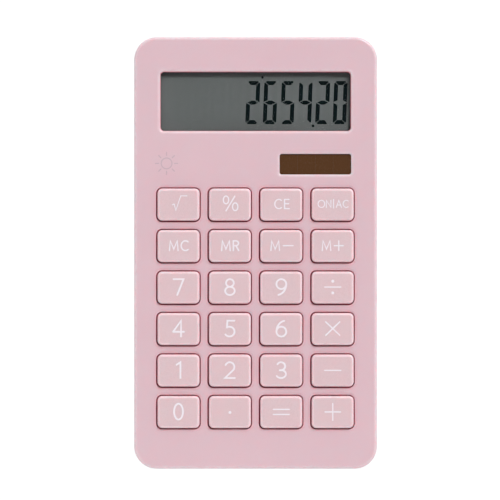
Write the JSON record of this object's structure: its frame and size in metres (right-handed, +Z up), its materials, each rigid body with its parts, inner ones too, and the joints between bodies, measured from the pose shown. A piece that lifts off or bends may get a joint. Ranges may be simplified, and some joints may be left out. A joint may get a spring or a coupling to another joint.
{
  "type": "desk calculator",
  "caption": "Slim desk calculator with travelling keys, a recessed liquid-crystal window, a solar cell and a sliding battery cover underneath.",
  "frame": {"origin": "on the table under the middle of the case, at the underside of the rubber feet", "axes": "+Z up out of the keys, +Y along the case from the user towards the display, +X to the user's right"},
  "size_m": [0.09, 0.16, 0.014],
  "materials": {
    "case_plastic": "rose-pink ABS, fine satin texture",
    "key_plastic": "rose-pink ABS, smoother satin than the case",
    "window_plastic": "clear hard-coated acrylic",
    "lcd_film": "grey polarising film",
    "lcd_glass": "thin float glass, grey-green edge",
    "ribbon_film": "amber polyester film with printed tracks",
    "pressed_steel": "thin nickel-plated sheet",
    "solar_glass": "brown amorphous silicon on glass",
    "silicone": "translucent grey-white silicone",
    "board_resin": "phenolic paper laminate",
    "epoxy": "black dispensed epoxy",
    "capacitor_sleeve": "black shrink sleeve",
    "led_resin": "red tinted resin",
    "resistor_lacquer": "beige lacquer with colour bands",
    "cell_steel": "nickel-plated can",
    "red_insulation": "red PVC",
    "black_insulation": "black PVC",
    "screw_steel": "zinc-plated steel",
    "foot_rubber": "dusky pink rubber"
  },
  "bodies": {
    "case": {"upper_case": "case_plastic", "lower_case": "case_plastic", "display_window": "window_plastic", "lcd_front_polariser": "lcd_film", "lcd_front_glass": "lcd_glass", "lcd_rear_glass": "lcd_glass", "lcd_reflector": "lcd_film", "lcd_ribbon": "ribbon_film", "display_clamp": "pressed_steel", "solar_cell": "solar_glass", "keypad_mat": "silicone", "circuit_board": "board_resin", "processor_cap": "epoxy", "storage_capacitor": "capacitor_sleeve", "limiter_led": "led_resin", "resistor": "resistor_lacquer", "button_cell": "cell_steel", "minus_contact": "pressed_steel", "plus_contact": "pressed_steel", "battery_lead_red": "red_insulation", "battery_lead_black": "black_insulation", "solar_lead_red": "red_insulation", "solar_lead_black": "black_insulation", "case_screw_1": "screw_steel", "board_screw_1": "screw_steel", "rubber_foot_1": "foot_rubber", "case_screw_2": "screw_steel", "board_screw_2": "screw_steel", "rubber_foot_2": "foot_rubber", "case_screw_3": "screw_steel", "board_screw_3": "screw_steel", "rubber_foot_3": "foot_rubber", "case_screw_4": "screw_steel", "board_screw_4": "screw_steel", "rubber_foot_4": "foot_rubber"},
    "key_root": {"key_root": "key_plastic"},
    "key_percent": {"key_percent": "key_plastic"},
    "key_clear_entry": {"key_clear_entry": "key_plastic"},
    "key_on_all_clear": {"key_on_all_clear": "key_plastic"},
    "key_memory_clear": {"key_memory_clear": "key_plastic"},
    "key_memory_recall": {"key_memory_recall": "key_plastic"},
    "key_memory_minus": {"key_memory_minus": "key_plastic"},
    "key_memory_plus": {"key_memory_plus": "key_plastic"},
    "key_7": {"key_7": "key_plastic"},
    "key_8": {"key_8": "key_plastic"},
    "key_9": {"key_9": "key_plastic"},
    "key_divide": {"key_divide": "key_plastic"},
    "key_4": {"key_4": "key_plastic"},
    "key_5": {"key_5": "key_plastic"},
    "key_6": {"key_6": "key_plastic"},
    "key_multiply": {"key_multiply": "key_plastic"},
    "key_1": {"key_1": "key_plastic"},
    "key_2": {"key_2": "key_plastic"},
    "key_3": {"key_3": "key_plastic"},
    "key_minus": {"key_minus": "key_plastic"},
    "key_0": {"key_0": "key_plastic"},
    "key_point": {"key_point": "key_plastic"},
    "key_equals": {"key_equals": "key_plastic"},
    "key_plus": {"key_plus": "key_plastic"},
    "battery_cover": {"battery_cover": "case_plastic"}
  },
  "joints": [
    {"name": "key_root_press", "type": "slide", "parent": "case", "child": "key_root", "axis": [0, 0, -1], "range_m": [0, 0.0012], "stiffness_N_per_m": 600, "springref_m": -0.0005, "deforming": ["keypad_mat"]},
    {"name": "key_percent_press", "type": "slide", "parent": "case", "child": "key_percent", "axis": [0, 0, -1], "range_m": [0, 0.0012], "stiffness_N_per_m": 600, "springref_m": -0.0005, "deforming": ["keypad_mat"]},
    {"name": "key_clear_entry_press", "type": "slide", "parent": "case", "child": "key_clear_entry", "axis": [0, 0, -1], "range_m": [0, 0.0012], "stiffness_N_per_m": 600, "springref_m": -0.0005, "deforming": ["keypad_mat"]},
    {"name": "key_on_all_clear_press", "type": "slide", "parent": "case", "child": "key_on_all_clear", "axis": [0, 0, -1], "range_m": [0, 0.0012], "stiffness_N_per_m": 600, "springref_m": -0.0005, "deforming": ["keypad_mat"]},
    {"name": "key_memory_clear_press", "type": "slide", "parent": "case", "child": "key_memory_clear", "axis": [0, 0, -1], "range_m": [0, 0.0012], "stiffness_N_per_m": 600, "springref_m": -0.0005, "deforming": ["keypad_mat"]},
    {"name": "key_memory_recall_press", "type": "slide", "parent": "case", "child": "key_memory_recall", "axis": [0, 0, -1], "range_m": [0, 0.0012], "stiffness_N_per_m": 600, "springref_m": -0.0005, "deforming": ["keypad_mat"]},
    {"name": "key_memory_minus_press", "type": "slide", "parent": "case", "child": "key_memory_minus", "axis": [0, 0, -1], "range_m": [0, 0.0012], "stiffness_N_per_m": 600, "springref_m": -0.0005, "deforming": ["keypad_mat"]},
    {"name": "key_memory_plus_press", "type": "slide", "parent": "case", "child": "key_memory_plus", "axis": [0, 0, -1], "range_m": [0, 0.0012], "stiffness_N_per_m": 600, "springref_m": -0.0005, "deforming": ["keypad_mat"]},
    {"name": "key_7_press", "type": "slide", "parent": "case", "child": "key_7", "axis": [0, 0, -1], "range_m": [0, 0.0012], "stiffness_N_per_m": 600, "springref_m": -0.0005, "deforming": ["keypad_mat"]},
    {"name": "key_8_press", "type": "slide", "parent": "case", "child": "key_8", "axis": [0, 0, -1], "range_m": [0, 0.0012], "stiffness_N_per_m": 600, "springref_m": -0.0005, "deforming": ["keypad_mat"]},
    {"name": "key_9_press", "type": "slide", "parent": "case", "child": "key_9", "axis": [0, 0, -1], "range_m": [0, 0.0012], "stiffness_N_per_m": 600, "springref_m": -0.0005, "deforming": ["keypad_mat"]},
    {"name": "key_divide_press", "type": "slide", "parent": "case", "child": "key_divide", "axis": [0, 0, -1], "range_m": [0, 0.0012], "stiffness_N_per_m": 600, "springref_m": -0.0005, "deforming": ["keypad_mat"]},
    {"name": "key_4_press", "type": "slide", "parent": "case", "child": "key_4", "axis": [0, 0, -1], "range_m": [0, 0.0012], "stiffness_N_per_m": 600, "springref_m": -0.0005, "deforming": ["keypad_mat"]},
    {"name": "key_5_press", "type": "slide", "parent": "case", "child": "key_5", "axis": [0, 0, -1], "range_m": [0, 0.0012], "stiffness_N_per_m": 600, "springref_m": -0.0005, "deforming": ["keypad_mat"]},
    {"name": "key_6_press", "type": "slide", "parent": "case", "child": "key_6", "axis": [0, 0, -1], "range_m": [0, 0.0012], "stiffness_N_per_m": 600, "springref_m": -0.0005, "deforming": ["keypad_mat"]},
    {"name": "key_multiply_press", "type": "slide", "parent": "case", "child": "key_multiply", "axis": [0, 0, -1], "range_m": [0, 0.0012], "stiffness_N_per_m": 600, "springref_m": -0.0005, "deforming": ["keypad_mat"]},
    {"name": "key_1_press", "type": "slide", "parent": "case", "child": "key_1", "axis": [0, 0, -1], "range_m": [0, 0.0012], "stiffness_N_per_m": 600, "springref_m": -0.0005, "deforming": ["keypad_mat"]},
    {"name": "key_2_press", "type": "slide", "parent": "case", "child": "key_2", "axis": [0, 0, -1], "range_m": [0, 0.0012], "stiffness_N_per_m": 600, "springref_m": -0.0005, "deforming": ["keypad_mat"]},
    {"name": "key_3_press", "type": "slide", "parent": "case", "child": "key_3", "axis": [0, 0, -1], "range_m": [0, 0.0012], "stiffness_N_per_m": 600, "springref_m": -0.0005, "deforming": ["keypad_mat"]},
    {"name": "key_minus_press", "type": "slide", "parent": "case", "child": "key_minus", "axis": [0, 0, -1], "range_m": [0, 0.0012], "stiffness_N_per_m": 600, "springref_m": -0.0005, "deforming": ["keypad_mat"]},
    {"name": "key_0_press", "type": "slide", "parent": "case", "child": "key_0", "axis": [0, 0, -1], "range_m": [0, 0.0012], "stiffness_N_per_m": 600, "springref_m": -0.0005, "deforming": ["keypad_mat"]},
    {"name": "key_point_press", "type": "slide", "parent": "case", "child": "key_point", "axis": [0, 0, -1], "range_m": [0, 0.0012], "stiffness_N_per_m": 600, "springref_m": -0.0005, "deforming": ["keypad_mat"]},
    {"name": "key_equals_press", "type": "slide", "parent": "case", "child": "key_equals", "axis": [0, 0, -1], "range_m": [0, 0.0012], "stiffness_N_per_m": 600, "springref_m": -0.0005, "deforming": ["keypad_mat"]},
    {"name": "key_plus_press", "type": "slide", "parent": "case", "child": "key_plus", "axis": [0, 0, -1], "range_m": [0, 0.0012], "stiffness_N_per_m": 600, "springref_m": -0.0005, "deforming": ["keypad_mat"]},
    {"name": "battery_cover_slide", "type": "slide", "parent": "case", "child": "battery_cover", "axis": [0, 1, 0], "range_m": [0, 0.024]}
  ]
}
